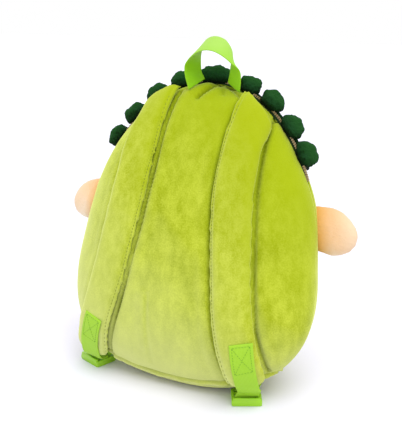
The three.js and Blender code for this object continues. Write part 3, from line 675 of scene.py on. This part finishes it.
SIDES = ("left", "right")
straps = {side: stuffed(f"shoulder_strap_{side}", STRAP_VELOUR, STRAP_VOXEL) for side in SIDES}
flaps = [stuffed(f"side_flap_{side}", PEACH_PLUSH, FLAP_VOXEL) for side in SIDES]
bobbles = [stuffed(f"crest_bobble_{i}", GREEN_PLUSH, BOBBLE_VOXEL) for i in range(1, 10)]
pads = [*straps.values(), *flaps, *bobbles]
fill_out(pads, FILL_PRESSURE, FILL_CAP)
for pad in pads:
    relax(pad, RELAX_TIMES)
    subdivide(pad, 1)


def bobble_height(place, normal):
    """Lumpy filling, a seam round the middle and a brushed-up surface"""
    lumps = 1.6 * noise.noise(place / 8) + 0.8 * noise.noise(place / 4.5)
    tufts = 0.7 * noise.noise(place / 1.8)
    return 1.25 * lumps + tufts - 1.0 * bell(place.y - BOBBLE_SETBACK, 0.9) + 1.2


def flap_height(place, normal):
    """Two layers sewn round their edge"""
    soft = 0.6 * noise.noise(place / 14) + 0.2 * noise.noise(place / 1.6)
    return soft - 0.8 * bell(place.y - FLAP_SETBACK, 0.8)


def beyond_rim(place):
    """How far outside the rim outline a place is, in millimetres"""
    from_middle = Vector((place.x, 0, place.z - WIDEST_HEIGHT))
    across = abs(place.x) / (BODY_WIDTH / 2)
    up = abs(place.z - WIDEST_HEIGHT) / (BODY_HEIGHT - WIDEST_HEIGHT)
    ring = (across ** TOP_ROUNDNESS + up ** TOP_ROUNDNESS) ** (1 / TOP_ROUNDNESS)
    return from_middle.length * (1 - 1 / ring)


def set_into_seam(flap):
    """Narrows a flap towards the seam that it is sewn into, and lets it reach further in and further out"""
    for vertex in flap.data.vertices:
        out = abs(vertex.co.x) / MM - FLAP_ROOT
        sewn_in = FLAP_SEWN_IN * min(1.0, max(0.0, (-6 - out) / 8))
        vertex.co.x = math.copysign((FLAP_ROOT + 1 + out * FLAP_STRETCH - sewn_in) * MM, vertex.co.x)
        narrowing = FLAP_NARROWING * min(1.0, max(0.0, (4 - out) / 22))
        vertex.co.z += (FLAP_MIDDLE * MM - vertex.co.z) * narrowing + FLAP_RAISE * MM


for bobble in bobbles:
    push(bobble, bobble_height)
    mark_reach(bobble, lambda place: beyond_rim(place) / CREST_REACH)
for flap in flaps:
    push(flap, flap_height)
    set_into_seam(flap)
    mark_reach(flap, lambda place: beyond_rim(place) / FLAP_REACH)

crest_band = piece("crest_band_plush", keep_edges(cad_copy("crest_band"), 50, 0.5), GREEN_PLUSH,
                   ["crest_band"])
subdivide(crest_band, 3)
push(crest_band, lambda place, normal: 1.6 + 0.5 * noise.noise(place / 1.7) + 0.6 * noise.noise(place / 7))
mark_reach(crest_band, lambda place: beyond_rim(place) / CREST_REACH)


# Shoulder straps: the line of stitches along the inner edge, and the relief beside it

def strap_relief(side):
    """Relief of a strap: slight lumps, and the channel that its stitches pull in"""
    frames = strap_frames(side, 90)
    inner = 1 if side == "left" else -1

    def height(place, normal):
        point = part_place(place)
        centre, width, outward, half = min(frames, key=lambda f: (f[0] - point).length_squared)
        across = (point - centre).dot(width) / MM
        sewn = across * inner > 0
        edge = half - abs(across)
        soft = 0.5 * noise.noise(place / 24) + 0.1 * noise.noise(place / 8)
        return soft - sewn * 0.9 * bell(edge - STITCH_INSET, 1.1)
    return height


def add_stitch(bm, centre, along, up, length, girth):
    """One stitch of thread lying on a surface"""
    along = along.normalized()
    aside = up.cross(along).normalized()
    up = along.cross(aside)
    turn = Matrix((along, aside, up)).transposed().to_4x4()
    size = Matrix.Diagonal((length / 2 * MM, girth / 2 * MM, girth / 2 * MM, 1))
    bmesh.ops.create_uvsphere(bm, u_segments=6, v_segments=4, radius=1,
                              matrix=Matrix.Translation(centre) @ turn @ size)


def strap_stitches(side, strap):
    """Stitches along the inner edge of a strap, laid on its finished surface"""
    mesh = bmesh.new()
    mesh.from_mesh(strap.data)
    surface = BVHTree.FromBMesh(mesh)
    bm = bmesh.new()
    frames = strap_frames(side, 84)
    inner = 1 if side == "left" else -1
    line = []
    for centre, width, outward, half in frames[2:-3]:
        start = centre + width * (inner * (half - STITCH_INSET) * MM) + outward * 8 * MM
        hit, normal, _, _ = surface.ray_cast(start, -outward, 20 * MM)
        if hit:
            line.append((hit, normal))
    for (a, up), (b, _) in zip(line, line[1:]):
        add_stitch(bm, (a + b) / 2 + up * 0.12 * MM, b - a, up, 2.7, 0.7)
    mesh.free()
    piece(f"shoulder_strap_{side}_stitches", bm, VELOUR_THREAD)


for side, strap in straps.items():
    push(strap, strap_relief(side))
    strap_stitches(side, strap)


# Webbing

def catmull(p0, p1, p2, p3, t):
    """Centripetal curve between two of four points"""
    d0, d1, d2 = [(b - a).length ** 0.5 for a, b in ((p0, p1), (p1, p2), (p2, p3))]
    d1 = d1 if d1 > 1e-4 else 1.0
    d0 = d0 if d0 > 1e-4 else d1
    d2 = d2 if d2 > 1e-4 else d1
    m1 = ((p1 - p0) / d0 - (p2 - p0) / (d0 + d1) + (p2 - p1) / d1) * d1
    m2 = ((p2 - p1) / d1 - (p3 - p1) / (d1 + d2) + (p3 - p2) / d2) * d1
    return p1 + m1 * t + (p2 * 3 - p1 * 3 - m1 * 2 - m2) * t * t + (p1 * 2 - p2 * 2 + m1 + m2) * t ** 3


def curve_point(points, share):
    """Point at a share of the way along a curve through points"""
    at = share * (len(points) - 1)
    k = min(int(at), len(points) - 2)
    first = points[k - 1] if k else points[0] * 2 - points[1]
    last = points[k + 2] if k + 2 < len(points) else points[-1] * 2 - points[-2]
    return catmull(first, points[k], points[k + 1], last, at - k)


def band_rows(route, count):
    """Frames along a webbing route: centre in metres, directions across and off its face, length so far"""
    centres = [Vector(row[:3]) for row in route]
    widths = [Vector(row[3:]) for row in route]
    rows = []
    gone = 0.0
    for i in range(count + 1):
        share = i / count
        centre = curve_point(centres, share)
        ahead, behind = curve_point(centres, min(1, share + 1e-4)), curve_point(centres, max(0, share - 1e-4))
        tangent = (ahead - behind).normalized()
        width = curve_point(widths, share).normalized()
        out = width.cross(tangent).normalized()
        if rows:
            gone += (centre - rows[-1][0] / MM).length
        rows.append((centre * MM, width, out, gone))
    return rows


def webbing(name, route, count, node, material=LIME_WEBBING):
    """Webbing with rounded selvages along a route, mapped across and along for its weave"""
    rows = band_rows(route, count)
    around = 24
    roundness = 0.55
    bm = bmesh.new()
    bm.loops.layers.uv.new("weave")
    bmesh.ops.create_grid(bm, x_segments=around, y_segments=count, size=1, calc_uvs=True)
    uv = bm.loops.layers.uv["weave"]
    half = WEBBING_WIDTH / 2
    for face in bm.faces:
        for loop in face.loops:
            across = power(math.cos(math.pi * (loop.vert.co.x + 1)), roundness)
            along = rows[round((loop.vert.co.y + 1) / 2 * count)][3]
            loop[uv].uv = (across / 2, along / WEBBING_WIDTH)
    for vertex in bm.verts:
        turn = math.pi * (vertex.co.x + 1)
        centre, width, out, _ = rows[round((vertex.co.y + 1) / 2 * count)]
        across = half * power(math.cos(turn), roundness)
        deep = WEBBING_THICKNESS / 2 * power(math.sin(turn), 0.35)
        vertex.co = centre + width * across * MM + out * deep * MM
    bmesh.ops.remove_doubles(bm, verts=bm.verts, dist=0.002 * MM)
    bmesh.ops.holes_fill(bm, edges=bm.edges, sides=0)
    bmesh.ops.recalc_face_normals(bm, faces=bm.faces)
    piece(name, bm, material, [node])
    return rows


def on_band(rows, along, across, face):
    """Point on a face of a band, with its direction along and off the face"""
    k = next((i for i, row in enumerate(rows) if row[3] >= along), len(rows) - 1)
    k = max(1, k)
    (a, wa, oa, la), (b, wb, ob, lb) = rows[k - 1], rows[k]
    t = (along - la) / (lb - la)
    out = oa.lerp(ob, t).normalized() * face
    point = a.lerp(b, t) + wa.lerp(wb, t).normalized() * across * MM
    return point + out * (WEBBING_THICKNESS / 2 + 0.05) * MM, out


def sew_line(bm, rows, start, end, face, pitch=3.0, length=2.3, girth=0.55):
    """Stitches on a band between two places, each given along and across in millimetres"""
    span = math.hypot(end[0] - start[0], end[1] - start[1])
    count = max(1, round(span / pitch))
    for i in range(count):
        near = [a + (b - a) * (i + 0.12) / count for a, b in zip(start, end)]
        far = [a + (b - a) * (i + 0.88) / count for a, b in zip(start, end)]
        a, up = on_band(rows, near[0], near[1], face)
        b, _ = on_band(rows, far[0], far[1], face)
        add_stitch(bm, (a + b) / 2, b - a, up, length, girth)


for side in SIDES:
    rows = webbing(f"strap_webbing_{side}_woven", STRAP_WEBBING_ROUTES[side], 90, f"strap_webbing_{side}")
    bm = bmesh.new()
    for start, end in [*zip(STITCH_BOX, STITCH_BOX[1:]), STITCH_BOX[0:3:2], STITCH_BOX[1:4:2]]:
        sew_line(bm, rows, start, end, -1)
    piece(f"strap_webbing_{side}_stitches", bm, WEBBING_THREAD)
    webbing(f"lower_webbing_{side}_woven", LOWER_WEBBING_ROUTES[side], 60, f"lower_webbing_{side}")

webbing("grab_handle_woven", HANDLE_ROUTE, 110, "grab_handle", SHADED_LIT_HANDLE_WEBBING)


# Hard pieces

def eased(name, node, material, edge):
    """A hard piece with its moulded edges eased"""
    bm = bmesh.new()
    bm.from_mesh(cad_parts[node].data)
    bmesh.ops.remove_doubles(bm, verts=bm.verts, dist=0.01 * MM)
    bmesh.ops.dissolve_limit(bm, angle_limit=math.radians(2), verts=bm.verts, edges=bm.edges)
    obj = piece(name, bm, material, [node])
    bevel = obj.modifiers.new("eased", "BEVEL")
    bevel.width = edge * MM
    bevel.segments = 2
    bevel.limit_method = "ANGLE"
    bevel.angle_limit = math.radians(35)
    bevel.harden_normals = True
    apply_modifiers(obj)
    return obj


for side in SIDES:
    eased(f"ladder_lock_{side}_moulded", f"ladder_lock_{side}", LIME_ACETAL, 0.45)
eased("zip_slider_cast", "zip_slider", BRASS_ZINC, 0.4)
tape = eased("zipper_tape_twill", "zipper_tape", ZIP_TWILL, 0.3)
push(tape, lambda place, normal: TAPE_RISE if beyond_rim(place) > -3 else 0.0)


def zipper_teeth():
    """Two rows of teeth that interlock along the rim, from the slider on"""
    bm = bmesh.new()
    aside = Vector((0, 1, 0))
    size = Matrix.Diagonal((*(length * MM for length in TOOTH_SIZE), 1))
    turn = -ZIP_TURN + SLIDER_TURN
    step = math.radians(0.05)
    gone = 0.0
    last = rim_point(turn, 0)
    count = 0
    while turn < ZIP_TURN:
        turn += step
        here = rim_point(turn, 0)
        gone += (here - last).length
        last = here
        if gone < TOOTH_PITCH / 2:
            continue
        gone -= TOOTH_PITCH / 2
        count += 1
        along = (rim_point(turn + step, 0) - rim_point(turn - step, 0)).normalized()
        out = Vector((-along.z, 0, along.x))
        if out.dot(here - Vector((0, 0, WIDEST_HEIGHT))) < 0:
            out = -out
        side = 1 if count % 2 else -1
        centre = here + out * TOOTH_RISE + aside * (side * 0.75 - 1.3)
        turned = Matrix((along, aside, out)).transposed().to_4x4()
        place = Matrix.Translation(part_place(centre)) @ Matrix.Rotation(-LEAN, 4, "X") @ turned
        bmesh.ops.create_cube(bm, size=1, matrix=place @ size)
    bmesh.ops.recalc_face_normals(bm, faces=bm.faces)
    teeth = piece("zipper_teeth", bm, BRASS_ZINC)
    for polygon in teeth.data.polygons:
        polygon.use_smooth = False


zipper_teeth()

# Floor and light

floor = bmesh.new()
bmesh.ops.create_grid(floor, x_segments=1, y_segments=1, size=6)
mesh = bpy.data.meshes.new("floor")
floor.to_mesh(mesh)
floor.free()
ground = bpy.data.objects.new("floor", mesh)
ground.data.materials.append(STUDIO_PAPER)
bpy.context.scene.collection.objects.link(ground)

world = bpy.data.worlds.new("studio")
world.use_nodes = True
world.node_tree.nodes["Background"].inputs["Color"].default_value = (1, 1, 1, 1)
world.node_tree.nodes["Background"].inputs["Strength"].default_value = 1.0
bpy.context.scene.world = world

# One large soft source, high on the right in front, and the white surround
lamp = bpy.data.lights.new("overhead_softbox", "SUN")
lamp.energy = 1.65
lamp.angle = math.radians(40)
key = bpy.data.objects.new("overhead_softbox", lamp)
key.rotation_euler = Vector((0.3, -0.24, 1.0)).to_track_quat("Z", "Y").to_euler()
bpy.context.scene.collection.objects.link(key)
